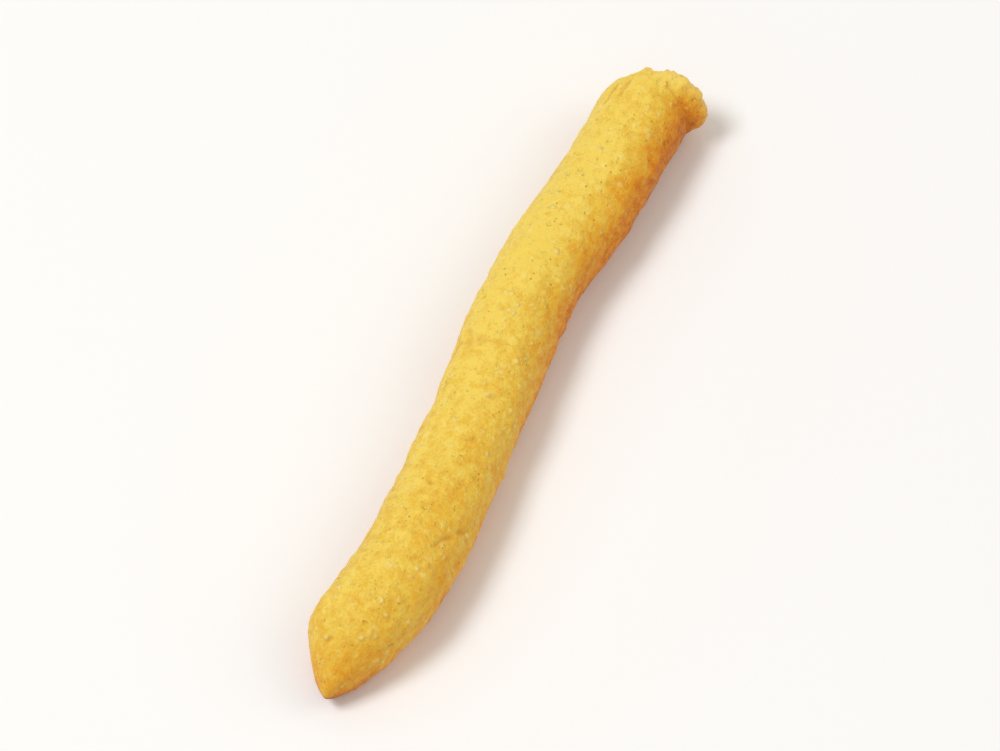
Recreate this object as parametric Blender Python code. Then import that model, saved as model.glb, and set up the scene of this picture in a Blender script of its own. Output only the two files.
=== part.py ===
"""A short grissini breadstick, one solid strand of baked dough, lying as it came off the tray.

The strand runs along X, with its pinched tip towards -X and its cut end towards +X. The flat that
the tray left on it lies on z = 0. Every outline is worked out from the sizes below: a section of
the strand is found at each station from the tip, rings of points are set round the stations, and
the lumps, creases and blisters of the crust are then raised or sunk along the surface's normals.
"""

import math
import random
from collections import namedtuple

import bmesh
import bpy
from mathutils import Vector, noise

MM = 0.001

# The strand as it was rolled. WIDTH is seen from above.
LENGTH = 72.0 * MM
WIDTH = 8.8 * MM
HEIGHT = 8.3 * MM
TRAY_FLAT = 4.2 * MM
MIDDLE_HEIGHT = 0.48 * HEIGHT
SQUARENESS = 2.1

# Gentle bends to the left (+Y) or right, as (station, sideways shift, reach).
BENDS = (
    (0.0 * MM, 0.45 * MM, 4.5 * MM),
    (17.0 * MM, -0.85 * MM, 9.0 * MM),
    (46.0 * MM, 1.25 * MM, 10.0 * MM),
    (68.0 * MM, -0.15 * MM, 6.0 * MM),
)

# Stretches that are thicker or thinner, as (station, share of the width, reach).
SWELLS = (
    (13.0 * MM, 0.050, 10.0 * MM),
    (28.0 * MM, -0.045, 7.0 * MM),
    (54.0 * MM, 0.020, 7.0 * MM),
)

# How each side of the strand closes, as (reach, power): a low power gives a sharper end.
Closing = namedtuple("Closing", "left right up down")
TIP = Closing((6.5 * MM, 1.3), (11.0 * MM, 1.5), (9.0 * MM, 1.8), (8.0 * MM, 1.5))
CUT = Closing((7.0 * MM, 2.2), (2.2 * MM, 3.0), (3.0 * MM, 2.5), (2.2 * MM, 3.0))
TIP_HEIGHT = 2.4 * MM
TIP_RISE = 9.0 * MM

# The cut end: a rounded rim, and a face that is slightly dished.
RIM_INSET = 0.5 * MM
RIM_ROUND = 0.4 * MM
FACE_DISH = 0.5 * MM
FACE_PITS = 13
FACE_PIT_SEED = 4
FACE_PIT_SPREAD = 3.3 * MM
FACE_PIT_RADIUS = (0.45 * MM, 0.80 * MM)
FACE_PIT_DEPTH = (0.18 * MM, 0.42 * MM)

# Single lumps and dents, as (station, turn in degrees, height, reach along, reach round).
# A turn of 0 is the left side, 90 the top and 180 the right side.
LUMPS = (
    (7.0 * MM, 5, 0.45 * MM, 3.2 * MM, 3.2 * MM),
    (19.0 * MM, 92, 0.24 * MM, 7.0 * MM, 3.6 * MM),
    (21.0 * MM, 175, 0.16 * MM, 6.0 * MM, 3.0 * MM),
    (27.0 * MM, 75, -0.20 * MM, 4.5 * MM, 3.0 * MM),
    (32.5 * MM, 12, 0.16 * MM, 1.3 * MM, 1.2 * MM),
    (33.5 * MM, 125, 0.14 * MM, 3.0 * MM, 2.4 * MM),
    (41.0 * MM, 60, 0.13 * MM, 3.2 * MM, 2.4 * MM),
    (49.0 * MM, 95, 0.20 * MM, 6.0 * MM, 3.2 * MM),
    (47.5 * MM, 178, -0.22 * MM, 3.2 * MM, 3.0 * MM),
    (57.0 * MM, 140, 0.14 * MM, 4.0 * MM, 2.2 * MM),
    (61.0 * MM, 80, -0.14 * MM, 3.4 * MM, 2.4 * MM),
    (16.0 * MM, -15, -0.18 * MM, 4.0 * MM, 2.0 * MM),
    (55.0 * MM, -12, 0.16 * MM, 4.0 * MM, 2.0 * MM),
)

# The lip that the blade raised round the cut, highest at the beak on the right, and the groove
# behind it, as lumps too.
LIP = (
    (70.6 * MM, 183, 0.95 * MM, 1.25 * MM, 1.9 * MM),
    (70.9 * MM, 130, 0.26 * MM, 0.95 * MM, 2.6 * MM),
    (70.4 * MM, 60, 0.14 * MM, 1.0 * MM, 2.2 * MM),
    (68.6 * MM, 165, -0.20 * MM, 1.1 * MM, 2.4 * MM),
    (69.4 * MM, 112, -0.14 * MM, 0.8 * MM, 1.8 * MM),
)

# Creases in the crust, as ((station, turn) of each end, depth, half width). The last three are the
# stretches of the seam where the dough tore above the tray on the left.
CREASES = (
    ((35.4 * MM, 12), (37.0 * MM, 62), 0.22 * MM, 0.55 * MM),
    ((37.0 * MM, 62), (37.3 * MM, 104), 0.18 * MM, 0.55 * MM),
    ((65.4 * MM, 46), (69.2 * MM, 50), 0.30 * MM, 0.50 * MM),
    ((18.0 * MM, -24), (27.0 * MM, -19), 0.34 * MM, 0.55 * MM),
    ((28.5 * MM, -21), (40.0 * MM, -25), 0.42 * MM, 0.60 * MM),
    ((41.5 * MM, -23), (50.0 * MM, -18), 0.30 * MM, 0.55 * MM),
)

# Blisters: small raised spots, spread by a seeded draw.
BLISTERS = 46
BLISTER_SEED = 7
BLISTER_RADIUS = (0.55 * MM, 1.15 * MM)
BLISTER_HEIGHT = (0.07 * MM, 0.17 * MM)

# The unevenness of hand-rolled dough, as (size along, size across, height) of each layer.
DOUGH = (
    (11.0 * MM, 6.0 * MM, 0.26 * MM),
    (4.2 * MM, 2.8 * MM, 0.14 * MM),
    (1.9 * MM, 1.5 * MM, 0.05 * MM),
)

# Relief fades out where the crust meets the tray.
GRIP_HEIGHT = 0.7 * MM

# The mesh: rings along the strand, and points round each ring.
STATION_STEP = 0.66 * MM
END_STATIONS = 12
END_LENGTH = 5.0 * MM
END_CROWDING = 1.7
POINTS_OVER = 33
POINTS_UNDER = 8
FACE_RINGS = 8
WIDEST_FOOT = math.radians(65)
FLAT_EDGE_ANGLE = math.radians(26)

CRUST_COLOUR = (0.81, 0.55, 0.13, 1.0)
CRUST_ROUGHNESS = 0.6

Section = namedtuple("Section", "y z left right up down")


def bell(x, centre, reach):
    """A smooth bump of height 1 at the centre."""
    return math.exp(-(((x - centre) / reach) ** 2))


def smooth(share):
    """An even rise from 0 to 1."""
    share = min(1.0, max(0.0, share))
    return share * share * (3 - 2 * share)


def closed(distance, closing):
    """The share of its full size that a side has at this distance from an end."""
    reach, power = closing
    if distance >= reach:
        return 1.0
    return (1 - (1 - max(distance, 0.0) / reach) ** power) ** (1 / power)


def section_at(s):
    """The strand's cross-section at station s from the tip."""
    swell = 1 + sum(share * bell(s, at, reach) for at, share, reach in SWELLS)
    swells = (swell, swell, swell, 1.0)
    y = sum(shift * bell(s, at, reach) for at, shift, reach in BENDS)
    z = TIP_HEIGHT + (MIDDLE_HEIGHT - TIP_HEIGHT) * smooth(s / TIP_RISE)
    foot = MIDDLE_HEIGHT / (1 - (TRAY_FLAT / WIDTH) ** SQUARENESS) ** (1 / SQUARENESS)
    full = (WIDTH / 2, WIDTH / 2, HEIGHT - MIDDLE_HEIGHT, foot)
    sides = [
        size * share * closed(s, tip) * closed(LENGTH - s, cut)
        for size, share, tip, cut in zip(full, swells, TIP, CUT)
    ]
    return Section(y, z, *sides)


def point_at(s, section, turn):
    """The point of the section at this turn, lifted to the tray where it would lie below it."""
    along, over = math.cos(turn), math.sin(turn)
    power = 2 / SQUARENESS
    side = section.left if along >= 0 else section.right
    rise = section.up if over >= 0 else section.down
    y = section.y + math.copysign(abs(along) ** power, along) * side
    z = section.z + math.copysign(abs(over) ** power, over) * rise
    return Vector((s, y, max(0.0, z)))


def turns_of(section):
    """The turns of a ring's points: over the top from one edge of the flat to the other, then under."""
    share = min(1.0, section.z / section.down) ** (SQUARENESS / 2)
    edge = min(math.asin(share), WIDEST_FOOT)
    over = [-edge + (math.pi + 2 * edge) * k / POINTS_OVER for k in range(POINTS_OVER + 1)]
    under_span = math.pi - 2 * edge
    under = [math.pi + edge + under_span * k / POINTS_UNDER for k in range(1, POINTS_UNDER)]
    return over + under


def stations():
    """Distances from the tip, close together at both ends."""
    last = LENGTH - RIM_INSET
    crowded = [END_LENGTH * (k / END_STATIONS) ** END_CROWDING for k in range(1, END_STATIONS)]
    steps = round((last - 2 * END_LENGTH) / STATION_STEP)
    middle = [END_LENGTH + (last - 2 * END_LENGTH) * k / steps for k in range(steps + 1)]
    return crowded + middle + [last - s for s in reversed(crowded)] + [last]


def spread_blisters():
    """Seeded lumps, kept off the flat."""
    draw = random.Random(BLISTER_SEED)
    return [
        (
            draw.uniform(4 * MM, LENGTH - 4 * MM),
            draw.uniform(-35, 215),
            draw.uniform(*BLISTER_HEIGHT),
            *[draw.uniform(*BLISTER_RADIUS)] * 2,
        )
        for _ in range(BLISTERS)
    ]


def around(turn, other_degrees):
    """The arc length between two turns on the strand's mean radius."""
    apart = (turn - math.radians(other_degrees) + math.pi) % (2 * math.pi) - math.pi
    return apart * WIDTH / 2


def lump_height(s, turn, lump):
    at, degrees, height, along, across = lump
    return height * math.exp(-(((s - at) / along) ** 2) - (around(turn, degrees) / across) ** 2)


def crease_depth(s, turn, crease):
    """How deep the crease is at this place on the unrolled crust."""
    (s0, turn0), (s1, turn1), depth, half_width = crease
    run = Vector((s1 - s0, math.radians(turn1 - turn0) * WIDTH / 2))
    here = Vector((s - s0, around(turn, turn0)))
    share = min(1.0, max(0.0, here.dot(run) / run.length_squared))
    return depth * bell((here - run * share).length, 0.0, half_width)


def dough_height(point):
    """The unevenness of the dough itself."""
    return sum(
        height * noise.noise(Vector((point.x / along, point.y / across, point.z / across)))
        for along, across, height in DOUGH
    )


def relief(point, lumps):
    """How far the crust stands out at a point of the plain strand."""
    s = point.x
    section = section_at(min(s, LENGTH - RIM_INSET))
    turn = math.atan2(point.z - section.z, point.y - section.y)
    height = dough_height(point)
    height += sum(lump_height(s, turn, lump) for lump in lumps)
    height -= sum(crease_depth(s, turn, crease) for crease in CREASES)
    return height * smooth(point.z / GRIP_HEIGHT)


def join_rings(bm, first, second):
    for k, corner in enumerate(first):
        beyond = (k + 1) % len(first)
        bm.faces.new((corner, second[k], second[beyond], first[beyond]))


def close_with(bm, ring, point, outwards):
    """A fan of triangles from the ring to one point."""
    middle = bm.verts.new(point)
    for k, corner in enumerate(ring):
        beyond = ring[(k + 1) % len(ring)]
        bm.faces.new((middle, corner, beyond) if outwards else (middle, beyond, corner))


def face_pits(centre):
    """Seeded pits in the cut face, as (place, depth, radius)."""
    draw = random.Random(FACE_PIT_SEED)
    pits = []
    for _ in range(FACE_PITS):
        turn = draw.uniform(0, 2 * math.pi)
        out = FACE_PIT_SPREAD * math.sqrt(draw.random())
        place = centre + Vector((0, out * math.cos(turn), out * math.sin(turn)))
        pits.append((place, draw.uniform(*FACE_PIT_DEPTH), draw.uniform(*FACE_PIT_RADIUS)))
    return pits


def face_ring(rim, centre, share):
    """A ring of the cut face: the rim drawn in, rounded at the lip, dished and pitted inside."""
    out = RIM_ROUND * (1 - share**4) - FACE_DISH * (1 - share**2) ** 2
    ring = []
    for point in rim:
        inner = centre + (point - centre) * share
        pits = face_pits(centre)
        sunk = sum(depth * bell((inner - at).length, 0.0, wide) for at, depth, wide in pits)
        ring.append(inner + Vector((out - sunk * (1 - share**3), 0, 0)))
    return ring


def plain_strand():
    """The strand with no relief, as one closed mesh, and how much of the relief each point takes."""
    bm = bmesh.new()
    rings = []
    for s in stations():
        section = section_at(s)
        ring = [point_at(s, section, turn) for turn in turns_of(section)]
        rings.append([bm.verts.new(point) for point in ring])
    takes = [1.0] * len(bm.verts)
    rim = [vert.co.copy() for vert in rings[-1]]
    centre = sum(rim, Vector()) / len(rim)
    for k in range(1, FACE_RINGS):
        share = 1 - k / FACE_RINGS
        points = face_ring(rim, centre, share)
        rings.append([bm.verts.new(point) for point in points])
        takes += [share**3] * len(points)
    for first, second in zip(rings, rings[1:]):
        join_rings(bm, first, second)
    tip = section_at(0.0)
    close_with(bm, rings[0], Vector((0.0, tip.y, tip.z)), outwards=False)
    close_with(bm, rings[-1], face_ring([centre], centre, 0.0)[0], outwards=True)
    takes += [1.0, 0.0]
    bmesh.ops.recalc_face_normals(bm, faces=bm.faces)
    return bm, takes


def raise_crust(bm, takes):
    """Moves every point along its normal by its share of the relief there."""
    lumps = [*LUMPS, *LIP, *spread_blisters()]
    bm.normal_update()
    heights = [relief(vert.co, lumps) * share for vert, share in zip(bm.verts, takes)]
    for vert, height in zip(bm.verts, heights):
        vert.co += vert.normal * height


def stand_on_origin(bm):
    """Brings the middle of the strand's outline over the origin, with the flat on z = 0."""
    low, high = (
        Vector(pick(vert.co[axis] for vert in bm.verts) for axis in range(3))
        for pick in (min, max)
    )
    middle = (low + high) / 2
    bmesh.ops.translate(bm, verts=bm.verts, vec=Vector((-middle.x, -middle.y, -low.z)))


def crust_material():
    material = bpy.data.materials.new("baked_crust")
    material.use_nodes = True
    surface = material.node_tree.nodes["Principled BSDF"]
    surface.inputs["Base Color"].default_value = CRUST_COLOUR
    surface.inputs["Roughness"].default_value = CRUST_ROUGHNESS
    surface.inputs["Metallic"].default_value = 0.0
    return material


def make_breadstick():
    bm, takes = plain_strand()
    raise_crust(bm, takes)
    stand_on_origin(bm)
    mesh = bpy.data.meshes.new("breadstick")
    bm.to_mesh(mesh)
    bm.free()
    mesh.shade_smooth()
    mesh.set_sharp_from_angle(angle=FLAT_EDGE_ANGLE)
    mesh.materials.append(crust_material())
    breadstick = bpy.data.objects.new("breadstick", mesh)
    bpy.context.scene.collection.objects.link(breadstick)
    return breadstick


for old in list(bpy.data.objects):
    bpy.data.objects.remove(old)
make_breadstick()
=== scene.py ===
"""A short grissini breadstick, baked golden, lying on a pale table under soft light.

Sizes are in millimetres and turn into metres where a mesh is made. The strand runs along X, with
its pinched tip towards -X, its cut end towards +X and the flat that its tray left on z = 0.
"""

import math
import random
from collections import namedtuple

import bmesh
import bpy
import numpy as np
from mathutils import Matrix, Vector, noise


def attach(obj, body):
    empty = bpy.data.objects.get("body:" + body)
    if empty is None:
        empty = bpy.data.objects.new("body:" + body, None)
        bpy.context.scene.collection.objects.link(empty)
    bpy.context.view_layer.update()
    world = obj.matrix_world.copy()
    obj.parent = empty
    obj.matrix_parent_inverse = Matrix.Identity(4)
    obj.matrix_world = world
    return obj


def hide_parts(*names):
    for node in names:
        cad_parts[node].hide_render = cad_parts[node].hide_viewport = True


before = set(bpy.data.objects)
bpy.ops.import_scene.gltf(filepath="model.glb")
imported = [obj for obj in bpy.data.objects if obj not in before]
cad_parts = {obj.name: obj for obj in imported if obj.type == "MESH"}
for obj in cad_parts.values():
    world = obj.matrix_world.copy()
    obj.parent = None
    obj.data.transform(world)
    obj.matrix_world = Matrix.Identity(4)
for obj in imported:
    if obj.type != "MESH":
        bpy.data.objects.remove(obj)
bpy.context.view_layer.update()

# The rolled strand
#
# A rope of yeast dough, rolled thin by hand, pinched off at one end and cut with a blade at the
# other. It is baked until it is dry right through. It is one piece, so the mesh made here is the
# whole breadstick, and the sections below only add to its surface.

MM = 0.001
LENGTH = 72.0
WIDTH = 8.8
HEIGHT = 8.3
TRAY_FLAT = 4.2
MIDDLE_HEIGHT = 0.48 * HEIGHT
SQUARENESS = 2.1

# Gentle bends to the left (+Y) or right, as (station, sideways shift, reach).
BENDS = ((0.0, 0.45, 4.5), (17.0, -0.85, 9.0), (46.0, 1.25, 10.0), (68.0, -0.15, 6.0))

# Stretches that are thicker or thinner, as (station, share of the width, reach).
SWELLS = ((13.0, 0.050, 10.0), (28.0, -0.045, 7.0), (54.0, 0.020, 7.0))

# How each side closes at an end, as (reach, power): a low power gives a sharper end.
Sides = namedtuple("Sides", "left right up down")
TIP = Sides((6.5, 1.3), (11.0, 1.5), (9.0, 1.8), (8.0, 1.5))
CUT = Sides((7.0, 2.2), (2.2, 3.0), (3.0, 2.5), (2.2, 3.0))
TIP_HEIGHT = 2.4
TIP_RISE = 9.0
RIM_INSET = 0.5

STATION_STEP = 0.16
END_STATIONS = 60
END_LENGTH = 5.0
END_CROWDING = 1.7
POINTS_OVER = 140
POINTS_UNDER = 22
WIDEST_FOOT = math.radians(65)

Section = namedtuple("Section", "y z left right up down")


def bell(x, centre, reach):
    """A smooth bump of height 1 at the centre."""
    return np.exp(-(((x - centre) / reach) ** 2))


def smooth(share):
    """An even rise from 0 to 1."""
    share = np.clip(share, 0.0, 1.0)
    return share * share * (3 - 2 * share)


def closed(distance, closing):
    """The share of its full size that a side has at this distance from an end."""
    reach, power = closing
    share = np.clip(distance / reach, 0.0, 1.0)
    return (1 - (1 - share) ** power) ** (1 / power)


def sections_at(s):
    """The strand's cross-sections at these stations from the tip."""
    swell = 1 + sum(share * bell(s, at, reach) for at, share, reach in SWELLS)
    y = sum(shift * bell(s, at, reach) for at, shift, reach in BENDS)
    z = TIP_HEIGHT + (MIDDLE_HEIGHT - TIP_HEIGHT) * smooth(s / TIP_RISE)
    foot = MIDDLE_HEIGHT / (1 - (TRAY_FLAT / WIDTH) ** SQUARENESS) ** (1 / SQUARENESS)
    full = (WIDTH / 2, WIDTH / 2, HEIGHT - MIDDLE_HEIGHT, foot)
    swells = (swell, swell, swell, 1.0)
    sides = [
        size * share * closed(s, tip) * closed(LENGTH - s, cut)
        for size, share, tip, cut in zip(full, swells, TIP, CUT)
    ]
    return Section(y, z, *sides)


def turns_of(section):
    """The turns of each ring's points: over the top from one edge of the flat, then under."""
    room = np.divide(section.z, section.down, out=np.ones_like(section.z), where=section.down > 0)
    edge = np.minimum(np.arcsin(np.minimum(1.0, room) ** (SQUARENESS / 2)), WIDEST_FOOT)[:, None]
    over = -edge + (math.pi + 2 * edge) * np.linspace(0, 1, POINTS_OVER + 1)
    under = math.pi + edge + (math.pi - 2 * edge) * np.linspace(0, 1, POINTS_UNDER + 1)[1:-1]
    return np.concatenate((over, under), axis=1)


def ring_points(s, section, turns):
    """Points of each section at these turns, lifted to the tray where they would lie below it."""
    along, over = np.cos(turns), np.sin(turns)
    power = 2 / SQUARENESS
    side = np.where(along >= 0, section.left[:, None], section.right[:, None])
    rise = np.where(over >= 0, section.up[:, None], section.down[:, None])
    y = section.y[:, None] + np.sign(along) * np.abs(along) ** power * side
    z = section.z[:, None] + np.sign(over) * np.abs(over) ** power * rise
    x = np.broadcast_to(s[:, None], y.shape)
    return np.stack((x, y, np.maximum(0.0, z)), axis=2)


def stations():
    """Distances from the tip, close together at both ends."""
    last = LENGTH - RIM_INSET
    crowded = END_LENGTH * (np.arange(1, END_STATIONS) / END_STATIONS) ** END_CROWDING
    steps = round((last - 2 * END_LENGTH) / STATION_STEP)
    middle = np.linspace(END_LENGTH, last - END_LENGTH, steps + 1)
    return np.concatenate((crowded, middle, last - crowded[::-1], [last]))


places = stations()
plain_sections = sections_at(places)
strand_rings = ring_points(places, plain_sections, turns_of(plain_sections))
points_round = strand_rings.shape[1]

# The blade met the strand at a slant, so the right side of that end is a little longer.
SLANT = 0.70
SLANT_REACH = 5.0

to_right = -strand_rings[:, :, 1] / (WIDTH / 2)
near_cut = smooth((places - LENGTH + SLANT_REACH) / SLANT_REACH)
strand_rings[:, :, 0] += SLANT * to_right * near_cut[:, None]

# The cut end
#
# Where the blade pressed the soft strand off, its edge rolled over into a thin lip. The face
# inside the lip sank a little as it baked, and the bubbles of the crumb show there as pits.

RIM_ROUND = 0.4
FACE_DISH = 0.5
FACE_RINGS = 56
FACE_PITS = 13
FACE_PIT_SEED = 4
FACE_PIT_SPREAD = 3.3
FACE_PIT_RADIUS = (0.45, 0.80)
FACE_PIT_DEPTH = (0.18, 0.42)
CRUMB_PITS = 420
CRUMB_PIT_SEED = 12
CRUMB_PIT_SPREAD = 3.8
CRUMB_PIT_RADIUS = (0.08, 0.24)
CRUMB_PIT_DEPTH = (0.10, 0.34)

# Small pits gather where slow noise of this size is above this level.
CRUMB_PIT_PATCHES = (1.5, -0.05)

# The share of a pit that is its flat floor, how far its outline strays from a circle, as (size, share)
# of each layer, and how much deeper it is than its listed depth.
PIT_FLOOR = 0.30
PIT_RAGGEDNESS = ((0.60, 0.62), (0.22, 0.31))
PIT_DEEPENING = 1.5

# The crumb's own roughness, as (size, height) of each layer.
CRUMB_ROUGHNESS = ((0.9, 0.14), (0.38, 0.13), (0.18, 0.06))


def face_pits(count, seed, spread, depths, radii):
    """Seeded pits in the cut face, as (y, z, depth, radius) from its middle."""
    draw = random.Random(seed)
    pits = []
    for _ in range(count):
        turn = draw.uniform(0, 2 * math.pi)
        out = spread * math.sqrt(draw.random())
        y, z = out * math.cos(turn), out * math.sin(turn)
        pits.append((y, z, draw.uniform(*depths), draw.uniform(*radii)))
    return pits


def in_patch(pit):
    """Whether a small pit lies in one of the places where they gather."""
    size, level = CRUMB_PIT_PATCHES
    return noise.noise(Vector((pit[0], pit[1], 0.0)) / size) > level


def rough(points, layers):
    """Unevenness made of noise layers, each with its size and height."""
    return sum(
        height * np.array([noise.noise(Vector(point) / size) for point in points])
        for size, height in layers
    )


# The last share is the single point in the middle of the face.
rim = strand_rings[-1]
rim_middle = rim.mean(axis=0)
ring_shares = 1 - np.arange(1, FACE_RINGS) / FACE_RINGS
face_shares = np.append(np.repeat(ring_shares, points_round), 0.0)
drawn_in = (rim - rim_middle) * ring_shares[:, None, None]
face_points = rim_middle + np.concatenate((drawn_in.reshape(-1, 3), np.zeros((1, 3))))
face_sunk = FACE_DISH * (1 - face_shares**2) ** 2 - RIM_ROUND * (1 - face_shares**4)
face_pitted = np.zeros(len(face_points))
raggedness = rough(face_points, PIT_RAGGEDNESS)
small_pits = face_pits(
    CRUMB_PITS, CRUMB_PIT_SEED, CRUMB_PIT_SPREAD, CRUMB_PIT_DEPTH, CRUMB_PIT_RADIUS
)
for pit_y, pit_z, depth, radius in (
    *face_pits(FACE_PITS, FACE_PIT_SEED, FACE_PIT_SPREAD, FACE_PIT_DEPTH, FACE_PIT_RADIUS),
    *filter(in_patch, small_pits),
):
    across_face = face_points[:, 1:] - rim_middle[1:] - (pit_y, pit_z)
    out = np.linalg.norm(across_face, axis=1) / radius + raggedness
    wall = 1 - smooth((out - PIT_FLOOR) / (1 - PIT_FLOOR))
    face_pitted = np.maximum(face_pitted, PIT_DEEPENING * depth * wall)
face_points[:, 0] -= face_sunk + face_pitted * (1 - face_shares**6)
face_points[:, 0] += rough(face_points, CRUMB_ROUGHNESS) * (1 - face_shares**6)

# The crust
#
# The outside of the dough, dried and browned by the oven into a thin satin skin. Rolling left it
# uneven, the oven raised blisters and small bubbles on it, and steam left pinholes and creases.

# Single lumps and dents, as (station, turn in degrees, height, reach along, reach round).
# A turn of 0 is the left side, 90 the top and 180 the right side.
LUMPS = (
    (7.0, 5, 0.45, 3.2, 3.2),
    (19.0, 92, 0.24, 7.0, 3.6),
    (21.0, 175, 0.16, 6.0, 3.0),
    (27.0, 75, -0.20, 4.5, 3.0),
    (32.5, 12, 0.16, 1.3, 1.2),
    (33.5, 125, 0.14, 3.0, 2.4),
    (41.0, 60, 0.13, 3.2, 2.4),
    (49.0, 95, 0.20, 6.0, 3.2),
    (47.5, 178, -0.22, 3.2, 3.0),
    (57.0, 140, 0.14, 4.0, 2.2),
    (61.0, 80, -0.14, 3.4, 2.4),
    (16.0, -15, -0.18, 4.0, 2.0),
    (55.0, -12, 0.16, 4.0, 2.0),
    (18.0, 88, 0.18, 0.50, 0.60),
    (19.5, 130, 0.18, 0.50, 0.80),
    (54.8, 110, -0.20, 0.50, 0.80),
    (56.6, 108, -0.16, 0.60, 0.70),
)

# The lip round the cut, highest at the beak on the right, with the full shoulder on its left, the
# grooves behind it, and the lumps that the blade left along its edge.
LIP = (
    (70.6, 183, 0.95, 1.25, 1.9),
    (70.9, 130, 0.38, 0.95, 2.6),
    (70.4, 60, 0.14, 1.0, 2.2),
    (68.9, 12, 0.46, 2.0, 3.2),
    (68.6, 165, -0.20, 1.1, 2.4),
    (69.4, 112, -0.14, 0.8, 1.8),
    (71.3, 100, 0.18, 0.40, 5.2),
    (70.2, 105, -0.12, 0.60, 4.6),
    (69.0, 176, -0.26, 0.42, 1.7),
    (69.6, 162, 0.16, 0.55, 0.7),
    (70.1, 118, -0.16, 0.40, 0.60),
    (71.0, 152, 0.38, 0.55, 0.60),
    (71.2, 130, 0.32, 0.42, 0.55),
    (71.1, 104, 0.24, 0.45, 0.65),
    (71.2, 72, 0.26, 0.40, 0.55),
    (70.9, 40, 0.14, 0.50, 0.80),
    (70.9, 205, 0.22, 0.60, 0.70),
)

# Creases, as ((station, turn) of each end, depth, half width, how dark its painted shade is, how much
# it strays).
# The first two cross the strand, the next two are wrinkles, then come the blade's two drag marks and
# the folds behind the lip and the beak, and the rest are tears above the tray.
CREASES = (
    ((35.4, 12), (37.0, 62), 0.21, 0.42, 0.42, 1.0),
    ((36.6, 56), (37.3, 104), 0.19, 0.42, 0.36, 1.0),
    ((15.4, 120), (17.6, 137), 0.24, 0.26, 0.32, 0.5),
    ((18.1, 136), (18.9, 157), 0.24, 0.28, 0.32, 0.5),
    ((65.6, 44), (69.0, 47), 0.20, 0.16, 0.75, 0.3),
    ((66.8, 62), (69.6, 64), 0.13, 0.15, 0.55, 0.3),
    ((70.0, 108), (69.0, 152), 0.12, 0.18, 0.60, 0.6),
    ((68.9, 158), (69.0, 200), 0.26, 0.20, 0.85, 0.5),
    ((17.0, -26), (25.5, -20), 0.30, 0.34, 0.42, 1.8),
    ((29.5, -19), (39.0, -25), 0.36, 0.38, 0.48, 1.8),
    ((43.0, -24), (50.0, -17), 0.26, 0.34, 0.40, 1.8),
)

# How far creases stray from a straight run, and over what length, how much they narrow and widen,
# and how quickly they fade at their ends.
CREASE_WANDER = (0.32, 1.3)
CREASE_BREAKS = 1.1
CREASE_FADING = 5

BLISTERS = 46
BLISTER_SEED = 7
BLISTER_RADIUS = (0.55, 1.15)
BLISTER_HEIGHT = (0.07, 0.17)

# Unevenness, as (size along, size across, height) of each layer: the first three are the dough,
# the others its skin.
DOUGH = ((11.0, 6.0, 0.26), (4.2, 2.8, 0.14), (1.9, 1.5, 0.095))
SKIN = ((0.9, 1.2, 0.066), (0.45, 0.5, 0.022))
ROLLING_MARKS = (7.0, 0.7, 0.030)

# Small bubbles and pinholes, most of them near the small end of their range of radii. The bubbles'
# tops are painted paler, partly as a highlight.
BUBBLES = 460
BUBBLE_SEED = 21
BUBBLE_RADIUS = (0.16, 0.55)
BUBBLE_HEIGHT = 0.20
BUBBLE_TOP_PALENESS_AND_HIGHLIGHT = (0.1, 0.9)
# Pinholes are painted darker inside, as shade.
PINHOLES = 170
PINHOLE_SEED = 33
PINHOLE_RADIUS = (0.09, 0.30)
PINHOLE_STRETCH = (0.8, 1.7)
PINHOLE_LEAN = 0.6
PINHOLE_DEPTH = 0.85
PINHOLE_SHADE_DARKNESS = (0.3, 1.0)

# The end is broken into small crumbs, most at the lip, as (station, reach, size, height). Fine folds
# run back from it, as (station, reach, length, width, height). The lip is painted paler over this
# reach, partly as a highlight along the rim.
BROKEN_LIP = (71.6, 1.5, 0.55, 0.22)
END_FOLDS = (70.4, 2.6, 2.4, 0.45, 0.13)
LIP_EDGE = 0.85

# Below this height the relief dies out, so that the flat stays flat.
GRIP_HEIGHT = 0.7

tip_section = sections_at(np.zeros(1))
tip_point = (0.0, tip_section.y[0], tip_section.z[0])
plain_points = np.concatenate((strand_rings.reshape(-1, 3), face_points, [tip_point]))
crust_count = strand_rings.shape[0] * points_round
face_middle, tip = len(plain_points) - 2, len(plain_points) - 1
last_ring = face_middle - points_round
near = np.arange(last_ring)
beyond = near + np.where(near % points_round == points_round - 1, 1 - points_round, 1)
quads = np.stack((near, beyond, beyond + points_round, near + points_round), axis=1)
fans = [(tip, (k + 1) % points_round, k) for k in range(points_round)]
fans += [
    (face_middle, last_ring + k, last_ring + (k + 1) % points_round) for k in range(points_round)
]
breadstick_mesh = bpy.data.meshes.new("breadstick_baked")
breadstick_mesh.from_pydata((plain_points * MM).tolist(), [], quads.tolist() + fans)
breadstick_mesh.update()
normals = np.empty(len(plain_points) * 3)
breadstick_mesh.vertex_normals.foreach_get("vector", normals)
normals = normals.reshape(-1, 3)


def apart_round(turn, degrees):
    """The arc length between two turns on the strand's mean radius."""
    gap = (turn - math.radians(degrees) + math.pi) % (2 * math.pi) - math.pi
    return gap * WIDTH / 2


def crease_mask(s, turn, wander, crease):
    """1 along the bottom of a crease of the unrolled crust, falling to 0 beside it."""
    (s0, turn0), (s1, turn1), _, half_width, _, strays = crease
    run = np.array((s1 - s0, math.radians(turn1 - turn0) * WIDTH / 2))
    here = np.stack((s - s0, apart_round(turn, turn0)), axis=1) + strays * wander[:, :2]
    share = np.clip(here @ run / (run @ run), 0.0, 1.0)
    width = half_width * (1 + CREASE_BREAKS * np.minimum(strays, 1.0) * wander[:, 2])
    fading = smooth(CREASE_FADING * share) * smooth(CREASE_FADING * (1 - share))
    apart = np.linalg.norm(here - share[:, None] * run, axis=1)
    return fading * bell(apart, 0.0, np.maximum(width, half_width / 4))


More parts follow.
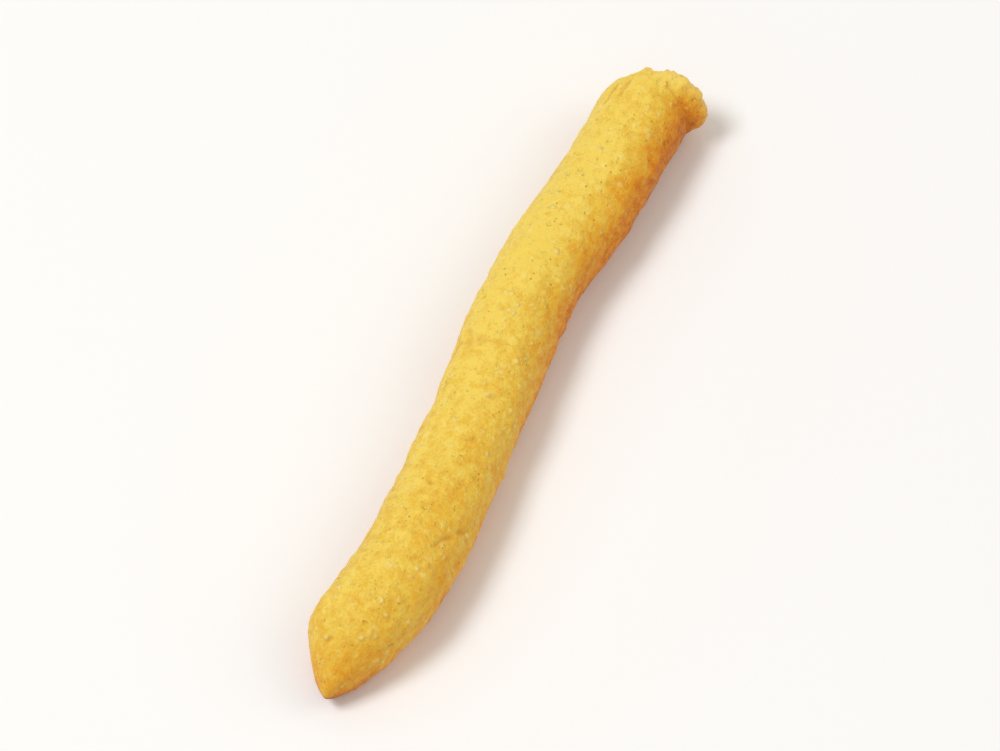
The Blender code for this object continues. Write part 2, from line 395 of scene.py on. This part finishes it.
def layer_height(points, layer):
    """One layer of unevenness."""
    along, across, height = layer
    scaled = points / np.array((along, across, across))
    return height * np.array([noise.noise(Vector(point)) for point in scaled])


crust_s = plain_points[:, 0]
here = sections_at(np.minimum(crust_s, LENGTH - RIM_INSET))
crust_turn = np.arctan2(plain_points[:, 2] - here.z, plain_points[:, 1] - here.y)

# The crust's relief dies out from the rim of the cut face to its middle.
takes = np.ones(len(plain_points))
takes[crust_count:tip] = face_shares**3

relief = sum(layer_height(plain_points, layer) for layer in (*DOUGH, *SKIN, ROLLING_MARKS))
for at, degrees, height, along, across in (*LUMPS, *LIP):
    relief += height * bell(crust_s, at, along) * bell(apart_round(crust_turn, degrees), 0, across)
# Creases are painted darker along their bottoms, as shade.
painted_crease_shade = np.zeros(len(plain_points))
reach, length = CREASE_WANDER
wander = np.array([
    [noise.noise(Vector(point) / length + Vector((shift, 0, 0))) for shift in (0, 50, 90)]
    for point in plain_points
]) * (reach, reach, 1.0)
for crease in CREASES:
    mask = crease_mask(crust_s, crust_turn, wander, crease)
    relief -= crease[2] * mask
    painted_crease_shade = np.maximum(painted_crease_shade, mask * crease[4])
draw = random.Random(BLISTER_SEED)
for _ in range(BLISTERS):
    at, degrees = draw.uniform(4, LENGTH - 4), draw.uniform(-35, 215)
    height, radius = draw.uniform(*BLISTER_HEIGHT), draw.uniform(*BLISTER_RADIUS)
    across = apart_round(crust_turn, degrees)
    relief += height * bell(crust_s, at, radius) * bell(across, 0, radius)
draw = random.Random(BUBBLE_SEED)
# Each bubble's top is painted paler, partly as a highlight.
bubble_paleness_and_highlight = np.zeros(len(plain_points))
for _ in range(BUBBLES):
    at, degrees = draw.uniform(1, LENGTH), draw.uniform(-180, 180)
    radius = BUBBLE_RADIUS[0] + (BUBBLE_RADIUS[1] - BUBBLE_RADIUS[0]) * draw.random() ** 2
    gap = np.hypot(crust_s - at, apart_round(crust_turn, degrees)) / radius
    dome = np.maximum(0.0, 1 - gap * gap) ** 2
    relief += BUBBLE_HEIGHT * radius * dome
    bubble_paleness_and_highlight = np.maximum(bubble_paleness_and_highlight, dome * draw.uniform(*BUBBLE_TOP_PALENESS_AND_HIGHLIGHT))
draw = random.Random(PINHOLE_SEED)
# Each pinhole is painted darker inside, as shade.
painted_pinhole_shade = np.zeros(len(plain_points))
for _ in range(PINHOLES):
    at, degrees = draw.uniform(1, LENGTH), draw.uniform(-180, 180)
    radius = PINHOLE_RADIUS[0] + (PINHOLE_RADIUS[1] - PINHOLE_RADIUS[0]) * draw.random() ** 2
    stretch, lean = draw.uniform(*PINHOLE_STRETCH), draw.uniform(-PINHOLE_LEAN, PINHOLE_LEAN)
    across = apart_round(crust_turn, degrees)
    hole = bell(crust_s - at, lean * across, radius) * bell(across, 0, radius * stretch)
    relief -= PINHOLE_DEPTH * radius * hole
    painted_pinhole_shade = np.maximum(painted_pinhole_shade, hole * draw.uniform(*PINHOLE_SHADE_DARKNESS))

lip_at, lip_reach, lip_size, lip_height = BROKEN_LIP
broken = rough(plain_points, ((lip_size, lip_height), (lip_size / 2.5, lip_height / 2)))
relief += bell(crust_s, lip_at, lip_reach) * broken
folds_at, folds_reach, *folds = END_FOLDS
relief += bell(crust_s, folds_at, folds_reach) * layer_height(plain_points, folds)
lip_paleness_and_highlight = bell(crust_s, lip_at, LIP_EDGE)
# The lip's paleness, partly a painted highlight, fades out below the strand's middle.
lip_paleness_and_highlight *= smooth((plain_points[:, 2] - here.z) / MIDDLE_HEIGHT + 0.60)

relief *= smooth(plain_points[:, 2] / GRIP_HEIGHT) * takes
points = plain_points + normals * relief[:, None]
low, high = points.min(axis=0), points.max(axis=0)
middle = np.array(((low[0] + high[0]) / 2, (low[1] + high[1]) / 2, low[2]))
points -= middle
breadstick_mesh.vertices.foreach_set("co", (points * MM).ravel())
breadstick_mesh.update()
breadstick_mesh.shade_smooth()

# How brown the crust is painted, from 0 where it is palest to 1 where it lay on the hot tray, with
# painted shade mixed in: round the strand as (turn, amount), then what is added along it as
# (station, amount, reach). The flanks are browner partly as painted shade, the right one most. Along
# the strand the tip half is darker partly as painted shade, the middle paler partly as painted light,
# and the lip paler partly as a painted highlight. The right side of the cut end's half is painted
# browner as shade: it rises over some degrees from one turn, and over some length from one station.
BROWNING_AND_SHADE_ROUND = (
    (-90, 0.82),
    (-45, 0.68),
    (-15, 0.40),
    (10, 0.16),
    (45, 0.05),
    (80, 0.06),
    (104, 0.12),
    (128, 0.18),
    (153, 0.24),
    (180, 0.36),
    (215, 0.62),
    (270, 0.82),
)
BROWNING_AND_SHADE_ALONG = ((0.0, 0.28, 4.5), (14.0, 0.07, 12.0), (52.0, -0.08, 14.0), (71.3, -0.42, 1.6))
# The right side of the cut end's half is painted browner, as shade.
RIGHT_SIDE_PAINTED_SHADE = 0.50
RIGHT_SHADE_FROM = 98.0
RIGHT_SHADE_OVER = 66.0
RIGHT_SHADE_START = 24.0
RIGHT_SHADE_RISE = 34.0

# Where the browning and painted shade start strays by this many degrees, over this length.
TONE_STRAY = (17.0, 5.0)

stray, length = TONE_STRAY
turn_degrees = np.degrees(crust_turn) + stray * rough(plain_points, ((length, 1.0), (length / 3, 0.4)))
turn_degrees %= 360
turn_degrees[turn_degrees > 270] -= 360
# Tone round and along the strand: real browning with painted shade and light mixed in.
browning_and_painted_shade = np.interp(turn_degrees, *zip(*BROWNING_AND_SHADE_ROUND))
browning_and_painted_shade += sum(amount * bell(crust_s, at, reach) for at, amount, reach in BROWNING_AND_SHADE_ALONG)
# Painted shade on the right side of the cut end's half.
browning_and_painted_shade += (
    RIGHT_SIDE_PAINTED_SHADE
    * smooth((turn_degrees - RIGHT_SHADE_FROM) / RIGHT_SHADE_OVER)
    * smooth((270 - turn_degrees) / RIGHT_SHADE_OVER)
    * smooth((crust_s - RIGHT_SHADE_START) / RIGHT_SHADE_RISE)
)
inside = np.zeros(len(plain_points))
inside[crust_count:tip] = 1 - face_shares**6
pitted = np.zeros(len(plain_points))
pitted[crust_count:tip] = face_pitted
for name, values in (
    ("browning_and_painted_shade", np.clip(browning_and_painted_shade, 0, 1)),
    ("bubble_paleness_and_highlight", bubble_paleness_and_highlight),
    ("painted_crease_shade", painted_crease_shade),
    ("painted_pinhole_shade", painted_pinhole_shade),
    ("lip_paleness_and_highlight", lip_paleness_and_highlight),
    ("inside", inside),
    ("pitted", pitted),
):
    breadstick_mesh.attributes.new(name, "FLOAT", "POINT").data.foreach_set("value", values)

# The look of baked dough
#
# A fine grain with tiny pimples and browned specks, at any size. The crust, the cut face and the
# crumbs all use it.


def on_screen(red, green, blue):
    """A colour as it looks on a screen, from 0 to 255, as the linear value that a shader takes."""
    shares = (value / 255 for value in (red, green, blue))
    linear = (v / 12.92 if v <= 0.04045 else ((v + 0.055) / 1.055) ** 2.4 for v in shares)
    return (*linear, 1.0)


def add_node(tree, kind, inputs=(), **settings):
    """A node of this kind, with its settings and with values or links for its named inputs."""
    node = tree.nodes.new(kind)
    for name, value in settings.items():
        setattr(node, name, value)
    for name, value in dict(inputs).items():
        if isinstance(value, bpy.types.NodeSocket):
            tree.links.new(value, node.inputs[name])
        else:
            node.inputs[name].default_value = value
    return node


def arithmetic(tree, operation, first, second):
    """The result of a Math node."""
    return add_node(
        tree, "ShaderNodeMath", {0: first, 1: second}, operation=operation
    ).outputs["Value"]


def between(tree, value, low, high):
    """The value turned into a mask that is 0 at low and 1 at high, with an even rise."""
    node = add_node(
        tree,
        "ShaderNodeMapRange",
        {"Value": value, "From Min": low, "From Max": high},
        interpolation_type="SMOOTHSTEP",
    )
    return node.outputs["Result"]


def mixed(tree, mask, first, second):
    """Two colours mixed by a mask."""
    node = add_node(tree, "ShaderNodeMix", data_type="RGBA", clamp_factor=True)
    for socket, value in ((node.inputs[0], mask), (node.inputs[6], first), (node.inputs[7], second)):
        if isinstance(value, bpy.types.NodeSocket):
            tree.links.new(value, socket)
        else:
            socket.default_value = value
    return node.outputs[2]


def painted(tree, name):
    """The values that the mesh holds under this name."""
    return add_node(tree, "ShaderNodeAttribute", attribute_name=name).outputs["Fac"]


def noise_of(tree, coordinates, size, detail=3.0, stretch=(1.0, 1.0, 1.0)):
    """Noise with features of about this size in millimetres, from 0 to 1."""
    scaled = add_node(
        tree,
        "ShaderNodeVectorMath",
        {0: coordinates, 1: [part / (size * MM) for part in stretch]},
        operation="MULTIPLY",
    ).outputs["Vector"]
    node = add_node(tree, "ShaderNodeTexNoise", {"Vector": scaled, "Scale": 1.0, "Detail": detail})
    return node.outputs["Fac"]


def make_dough_grain():
    """Grain, raised pimples and browned specks that grow and shrink with the group's Size input."""
    tree = bpy.data.node_groups.new("dough_grain", "ShaderNodeTree")
    tree.interface.new_socket("Size", in_out="INPUT", socket_type="NodeSocketFloat")
    for name in ("Tone", "Pimples", "Specks", "Height"):
        tree.interface.new_socket(name, in_out="OUTPUT", socket_type="NodeSocketFloat")
    inputs = add_node(tree, "NodeGroupInput")
    place = add_node(tree, "ShaderNodeTexCoord").outputs["Object"]
    size = arithmetic(tree, "MULTIPLY", inputs.outputs["Size"], MM)
    place = add_node(
        tree, "ShaderNodeVectorMath", {0: place, 1: size}, operation="DIVIDE"
    ).outputs["Vector"]
    grain = add_node(
        tree, "ShaderNodeTexNoise", {"Vector": place, "Scale": 1.3, "Detail": 4.0, "Roughness": 0.62}
    ).outputs["Fac"]
    mottle = add_node(
        tree, "ShaderNodeTexNoise", {"Vector": place, "Scale": 0.32, "Detail": 3.0}
    ).outputs["Fac"]
    tone = arithmetic(tree, "ADD", grain, mottle)

    # Each cell holds one dome. Its red value says whether it rises, and its green one whether it is
    # a brown speck.
    cells = add_node(tree, "ShaderNodeTexVoronoi", {"Vector": place, "Scale": 0.85}).outputs
    drawn = add_node(tree, "ShaderNodeSeparateColor", {"Color": cells["Color"]}).outputs
    domes = between(tree, cells["Distance"], 0.50, 0.0)
    domes = arithmetic(tree, "MULTIPLY", domes, between(tree, drawn["Red"], 0.45, 1.0))
    spots = between(tree, cells["Distance"], 0.34, 0.14)
    spots = arithmetic(tree, "MULTIPLY", spots, between(tree, drawn["Green"], 0.90, 0.98))
    height = arithmetic(tree, "ADD", arithmetic(tree, "MULTIPLY", grain, 0.7), domes)
    height = arithmetic(tree, "SUBTRACT", height, arithmetic(tree, "MULTIPLY", spots, 0.8))
    add_node(
        tree,
        "NodeGroupOutput",
        {"Tone": between(tree, tone, 0.72, 1.28), "Pimples": domes, "Specks": spots, "Height": height},
    )
    return tree


dough_grain = make_dough_grain()


def grain_of(tree, size):
    """The outputs of the dough's grain at this size in millimetres."""
    return add_node(tree, "ShaderNodeGroup", {"Size": size}, node_tree=dough_grain).outputs


# The crust's finish
#
# A dry satin skin, golden on top, orange-brown at the tip, along the right side and below, partly as
# painted shade. Its specks are darker, its creases and pinholes are darkened with painted shade, and
# its pimples and the lip that the blade left are paler, partly as painted highlights.

# From the palest crust to the brownest.
CRUST_TONES = (
    (0.00, on_screen(246, 216, 96)),
    (0.20, on_screen(236, 195, 70)),
    (0.45, on_screen(232, 168, 44)),
    (0.70, on_screen(220, 132, 18)),
    (1.00, on_screen(176, 94, 14)),
)

# Colours laid over the tones, each with its strength: paleness that is partly a painted highlight on
# the lip and the flecks, painted shade in creases and pinholes, and brown specks.
LIP_PALE_AND_HIGHLIGHT = (on_screen(253, 220, 126), 0.72)
PALE_FLECK_AND_HIGHLIGHT = (on_screen(255, 231, 144), 0.70)
CREASE_PAINTED_SHADE = (on_screen(206, 128, 34), 0.75)
CRUST_SPECK = (on_screen(172, 100, 26), 0.36)
PINHOLE_PAINTED_SHADE = (on_screen(186, 116, 30), 0.36)

# Uneven browning, as (size, share of it along the strand, amount): patches, clouds, streaks, dapples.
UNEVEN_TONE = ((6.0, 0.6, 0.12), (2.1, 1.0, 0.08), (0.9, 0.55, 0.07), (0.8, 1.0, 0.07))

# The fine grain and the coarse one: size, how much they change the tone and how far they stand out.
FINE_GRAIN = 0.30
COARSE_GRAIN = 0.74
FINE_TONE = 0.26
COARSE_TONE = 0.12
FINE_PIMPLES = 0.6
COARSE_RELIEF = 1.6
CRUST_BUMP = 0.11

# Where the crust is pale, pimples are painted paler than it, partly as a highlight on their tops, and
# they fade out between these tones.
PIMPLES_FADE = (0.75, 0.15)
CRUST_ROUGHNESS = (0.42, 0.66)
ROUGHNESS_SPREAD = (-0.6, 2.4)


def drifting(tree, tone, layer, amount):
    """The tone, moved up and down by a layer of values round 0.5."""
    drift = arithmetic(tree, "MULTIPLY", arithmetic(tree, "SUBTRACT", layer, 0.5), amount)
    return arithmetic(tree, "ADD", tone, drift)


def shaded(tree, colour, mask, shade, strength):
    """A colour with a shade laid over it where the mask shows."""
    return mixed(tree, arithmetic(tree, "MULTIPLY", mask, strength), colour, shade)


def make_crust():
    """Satin golden crust, mottled, browner below and at the tip, with flecks, pinholes and painted
    light.
    """
    material = bpy.data.materials.new("golden_crust")
    material.use_nodes = True
    tree = material.node_tree
    surface = tree.nodes["Principled BSDF"]
    place = add_node(tree, "ShaderNodeTexCoord").outputs["Object"]
    grain = grain_of(tree, FINE_GRAIN)
    coarse = grain_of(tree, COARSE_GRAIN)
    tone = painted(tree, "browning_and_painted_shade")
    for size, along, amount in UNEVEN_TONE:
        layer = noise_of(tree, place, size, stretch=(along, 1.0, 1.0))
        tone = drifting(tree, tone, layer, amount)
    tone = drifting(tree, tone, grain["Tone"], FINE_TONE)
    tone = drifting(tree, tone, coarse["Tone"], COARSE_TONE)
    ramp = add_node(tree, "ShaderNodeValToRGB", {"Fac": tone})
    elements = ramp.color_ramp.elements
    for index, (at, colour) in enumerate(CRUST_TONES):
        element = elements[index] if index < 2 else elements.new(at)
        element.position, element.color = at, colour
    colour = shaded(tree, ramp.outputs["Color"], painted(tree, "lip_paleness_and_highlight"), *LIP_PALE_AND_HIGHLIGHT)
    pale_flecks_and_highlights = arithmetic(tree, "MULTIPLY", grain["Pimples"], FINE_PIMPLES)
    pale_flecks_and_highlights = arithmetic(tree, "MAXIMUM", pale_flecks_and_highlights, coarse["Pimples"])
    pale_flecks_and_highlights = arithmetic(tree, "MAXIMUM", pale_flecks_and_highlights, painted(tree, "bubble_paleness_and_highlight"))
    pale_flecks_and_highlights = arithmetic(tree, "MULTIPLY", pale_flecks_and_highlights, between(tree, tone, *PIMPLES_FADE))
    colour = shaded(tree, colour, pale_flecks_and_highlights, *PALE_FLECK_AND_HIGHLIGHT)
    colour = shaded(tree, colour, painted(tree, "painted_crease_shade"), *CREASE_PAINTED_SHADE)
    colour = shaded(tree, colour, grain["Specks"], *CRUST_SPECK)
    colour = shaded(tree, colour, painted(tree, "painted_pinhole_shade"), *PINHOLE_PAINTED_SHADE)
    tree.links.new(colour, surface.inputs["Base Color"])
    dullness = between(tree, grain["Tone"], *ROUGHNESS_SPREAD)
    smoothest, roughest = CRUST_ROUGHNESS
    roughness = add_node(
        tree, "ShaderNodeMapRange", {"Value": dullness, "To Min": smoothest, "To Max": roughest}
    ).outputs["Result"]
    tree.links.new(roughness, surface.inputs["Roughness"])
    height = arithmetic(tree, "MULTIPLY", coarse["Height"], COARSE_RELIEF)
    height = arithmetic(tree, "ADD", grain["Height"], height)
    bump = add_node(
        tree, "ShaderNodeBump", {"Strength": 1.0, "Distance": CRUST_BUMP * MM, "Height": height}
    )
    tree.links.new(bump.outputs["Normal"], surface.inputs["Normal"])
    surface.inputs["Specular IOR Level"].default_value = 0.18
    surface.inputs["Subsurface Weight"].default_value = 0.06
    surface.inputs["Subsurface Radius"].default_value = (1.0, 0.45, 0.15)
    surface.inputs["Subsurface Scale"].default_value = 0.8 * MM
    return material


golden_crust = make_crust()

# The cut face's finish
#
# The crumb that the blade laid open, baked dry. It is golden like the crust but duller. Its pits are
# darkened with painted shade that grows with their depth, and its rim is paler, partly as a painted
# highlight.

CRUMB_COLOUR = on_screen(238, 190, 86)
CRUMB_TOASTED = on_screen(214, 152, 54)
CRUMB_PIT_PAINTED_SHADE = on_screen(138, 78, 20)
CRUMB_PALE_RIM_AND_HIGHLIGHT = on_screen(248, 208, 104)
CRUMB_GRAIN = 0.20
CRUMB_BUMP = 0.06

# Where toasted patches of this size begin and end, and where a pit's depth begins and ends to darken
# it with painted shade. The grain makes the pits' edges uneven.
TOAST_PATCH = 1.2
TOASTED = (0.05, 0.50)
PIT_SHADE_DEPTHS = (0.05, 0.70)
PIT_GRAIN = 0.16


def make_open_crumb():
    """Dry matte crumb with painted shade in its pits and a paler rim, partly a painted highlight."""
    material = bpy.data.materials.new("open_crumb")
    material.use_nodes = True
    tree = material.node_tree
    surface = tree.nodes["Principled BSDF"]
    grain = grain_of(tree, CRUMB_GRAIN)
    place = add_node(tree, "ShaderNodeTexCoord").outputs["Object"]
    toasted = arithmetic(tree, "MULTIPLY", grain["Tone"], noise_of(tree, place, TOAST_PATCH))
    colour = mixed(tree, between(tree, toasted, *TOASTED), CRUMB_COLOUR, CRUMB_TOASTED)
    # The rim of the face is paler, partly as a painted highlight.
    colour = mixed(tree, painted(tree, "inside"), CRUMB_PALE_RIM_AND_HIGHLIGHT, colour)
    depth = drifting(tree, painted(tree, "pitted"), grain["Tone"], PIT_GRAIN)
    # Pits darken with their depth, as painted shade.
    colour = mixed(tree, between(tree, depth, *PIT_SHADE_DEPTHS), colour, CRUMB_PIT_PAINTED_SHADE)
    tree.links.new(colour, surface.inputs["Base Color"])
    bump = add_node(
        tree,
        "ShaderNodeBump",
        {"Strength": 1.0, "Distance": CRUMB_BUMP * MM, "Height": grain["Height"]},
    )
    tree.links.new(bump.outputs["Normal"], surface.inputs["Normal"])
    surface.inputs["Roughness"].default_value = 0.85
    surface.inputs["Specular IOR Level"].default_value = 0.2
    return material


breadstick_mesh.materials.append(golden_crust)
breadstick_mesh.materials.append(make_open_crumb())
material_of_face = np.zeros(len(breadstick_mesh.polygons), dtype=np.int32)
material_of_face[crust_count:last_ring] = 1
material_of_face[-points_round:] = 1
breadstick_mesh.polygons.foreach_set("material_index", material_of_face)
breadstick = bpy.data.objects.new("baked_strand", breadstick_mesh)
bpy.context.scene.collection.objects.link(breadstick)
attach(breadstick, "root")
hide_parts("breadstick")

# Crumbs
#
# Flakes of crust that broke off at the cut and stuck to the strand, most of them near that end.

CRUMBS = 22
CRUMB_SEED = 5
CRUMB_RADIUS = (0.08, 0.20)
CRUMB_FLATNESS = (0.40, 0.7)
CRUMB_SUNK = 0.35
CRUMB_NARROWNESS = (0.5, 0.9)
CRUMB_RAGGEDNESS = 0.75

# The chance of a crumb far from the cut, and how sharply it grows towards it. None stick below.
CRUMBS_ELSEWHERE = 0.15
CRUMBS_CROWDING = 6
LOWEST_FACING = -0.1


def make_crumbs():
    """All the stuck crumbs as one piece, each a small broken flake sunk a little into the crust."""
    draw = random.Random(CRUMB_SEED)
    bm = bmesh.new()
    stuck = 0
    while stuck < CRUMBS:
        vert = breadstick_mesh.vertices[draw.randrange(crust_count)]
        along = (vert.co.x / MM + LENGTH / 2) / LENGTH
        chance = CRUMBS_ELSEWHERE + along**CRUMBS_CROWDING
        if vert.normal.z < LOWEST_FACING or draw.random() > chance:
            continue
        stuck += 1
        radius = draw.uniform(*CRUMB_RADIUS)
        turn = vert.normal.to_track_quat("Z", "Y").to_matrix().to_4x4()
        spin = Matrix.Rotation(draw.uniform(0, 2 * math.pi), 4, "Z")
        narrow, flat = draw.uniform(*CRUMB_NARROWNESS), draw.uniform(*CRUMB_FLATNESS)
        shape = Matrix.Diagonal((radius, radius * narrow, radius * flat, 1.0))
        sunk = vert.co - vert.normal * radius * CRUMB_SUNK * MM
        place = Matrix.Translation(sunk) @ turn @ spin @ Matrix.Scale(MM, 4) @ shape
        made = bmesh.ops.create_icosphere(bm, subdivisions=2, radius=1.0)
        offset = Vector((draw.uniform(-9, 9), draw.uniform(-9, 9), draw.uniform(-9, 9)))
        for corner in made["verts"]:
            corner.co *= 1 + CRUMB_RAGGEDNESS * noise.noise(corner.co * 1.4 + offset)
            corner.co = place @ corner.co
    mesh = bpy.data.meshes.new("stuck_crumbs")
    bm.to_mesh(mesh)
    bm.free()
    mesh.shade_smooth()
    return mesh


CRUMB_GOLD = on_screen(244, 196, 84)
CRUMB_BROWN = on_screen(216, 148, 44)
BROWN_PATCH = 1.6
BROWN_SHARE = (0.35, 0.65)
FLAKE_GRAIN = 0.12
FLAKE_TONE = 0.3
FLAKE_BUMP = 0.03


def make_flaked_crust():
    """Dry broken crust, some of it browner."""
    material = bpy.data.materials.new("flaked_crust")
    material.use_nodes = True
    tree = material.node_tree
    surface = tree.nodes["Principled BSDF"]
    place = add_node(tree, "ShaderNodeTexCoord").outputs["Object"]
    grain = grain_of(tree, FLAKE_GRAIN)
    browner = between(tree, noise_of(tree, place, BROWN_PATCH), *BROWN_SHARE)
    colour = mixed(tree, browner, CRUMB_GOLD, CRUMB_BROWN)
    colour = shaded(tree, colour, grain["Tone"], CRUMB_BROWN, FLAKE_TONE)
    tree.links.new(colour, surface.inputs["Base Color"])
    bump = add_node(
        tree,
        "ShaderNodeBump",
        {"Strength": 1.0, "Distance": FLAKE_BUMP * MM, "Height": grain["Height"]},
    )
    tree.links.new(bump.outputs["Normal"], surface.inputs["Normal"])
    surface.inputs["Roughness"].default_value = 0.7
    surface.inputs["Specular IOR Level"].default_value = 0.2
    return material


crumbs_mesh = make_crumbs()
crumbs_mesh.materials.append(make_flaked_crust())
crumbs = bpy.data.objects.new("stuck_crumbs", crumbs_mesh)
bpy.context.scene.collection.objects.link(crumbs)
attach(crumbs, "root")

# The table
#
# A plain near-white surface, cool enough to look neutral in the warm light. It isn't part of the
# breadstick.

TABLE_SIZE = 3.0
TABLE_COLOUR = (0.955, 0.975, 1.0, 1.0)

table_mesh = bpy.data.meshes.new("table_top")
half_table = TABLE_SIZE / 2
table_mesh.from_pydata(
    [(x, y, 0.0) for x, y in ((-1, -1), (1, -1), (1, 1), (-1, 1))], [], [(0, 1, 2, 3)]
)
table_mesh.transform(Matrix.Scale(half_table, 4))
table_paint = bpy.data.materials.new("pale_table")
table_paint.use_nodes = True
table_surface = table_paint.node_tree.nodes["Principled BSDF"]
table_surface.inputs["Base Color"].default_value = TABLE_COLOUR
table_surface.inputs["Roughness"].default_value = 0.8
table_mesh.materials.append(table_paint)
table = bpy.data.objects.new("table_top", table_mesh)
bpy.context.scene.collection.objects.link(table)

# The light
#
# A soft white light from the upper left, a weaker warm one from the right, and an even warm glow from
# all round. Each light is given as (place in metres, size, power, colour).

KEY_LIGHT = ((-0.30, 0.46, 1.02), 0.38, 6.4, (1.0, 1.0, 1.0))
FILL_LIGHT = ((0.50, -0.75, 0.80), 0.80, 2.5, (1.0, 0.86, 0.66))
GLOW = 0.52
GLOW_COLOUR = (1.0, 0.95, 0.89, 1.0)


def add_light(name, place, size, power, colour):
    """A square area light that points at the strand."""
    light = bpy.data.lights.new(name, "AREA")
    light.size, light.energy, light.color = size, power, colour
    lamp = bpy.data.objects.new(name, light)
    lamp.location = place
    lamp.rotation_euler = Vector(place).to_track_quat("Z", "Y").to_euler()
    bpy.context.scene.collection.objects.link(lamp)


add_light("key_light", *KEY_LIGHT)
add_light("fill_light", *FILL_LIGHT)
world = bpy.data.worlds.new("even_glow")
world.use_nodes = True
world.node_tree.nodes["Background"].inputs["Color"].default_value = GLOW_COLOUR
world.node_tree.nodes["Background"].inputs["Strength"].default_value = GLOW
bpy.context.scene.world = world
bpy.context.scene.view_settings.view_transform = "Standard"

# The camera
#
# It meets the strand at the photograph's angle: from above its tip and a little to its right.

CAMERA_TURN = math.radians(-64.7)
CAMERA_RISE = math.radians(60.0)
CAMERA_DISTANCE = 0.45
LENS = 174.0

camera_data = bpy.data.cameras.new("camera")
camera_data.lens = LENS
camera_data.clip_start = 0.01
camera = bpy.data.objects.new("camera", camera_data)
flat_back = math.cos(CAMERA_RISE)
camera_back = Vector(
    (math.sin(CAMERA_TURN) * flat_back, -math.cos(CAMERA_TURN) * flat_back, math.sin(CAMERA_RISE))
)
camera.location = camera_back * CAMERA_DISTANCE + Vector((0.0, 0.0, MIDDLE_HEIGHT * MM))
camera.rotation_euler = camera_back.to_track_quat("Z", "Y").to_euler()
bpy.context.scene.collection.objects.link(camera)
bpy.context.scene.camera = camera
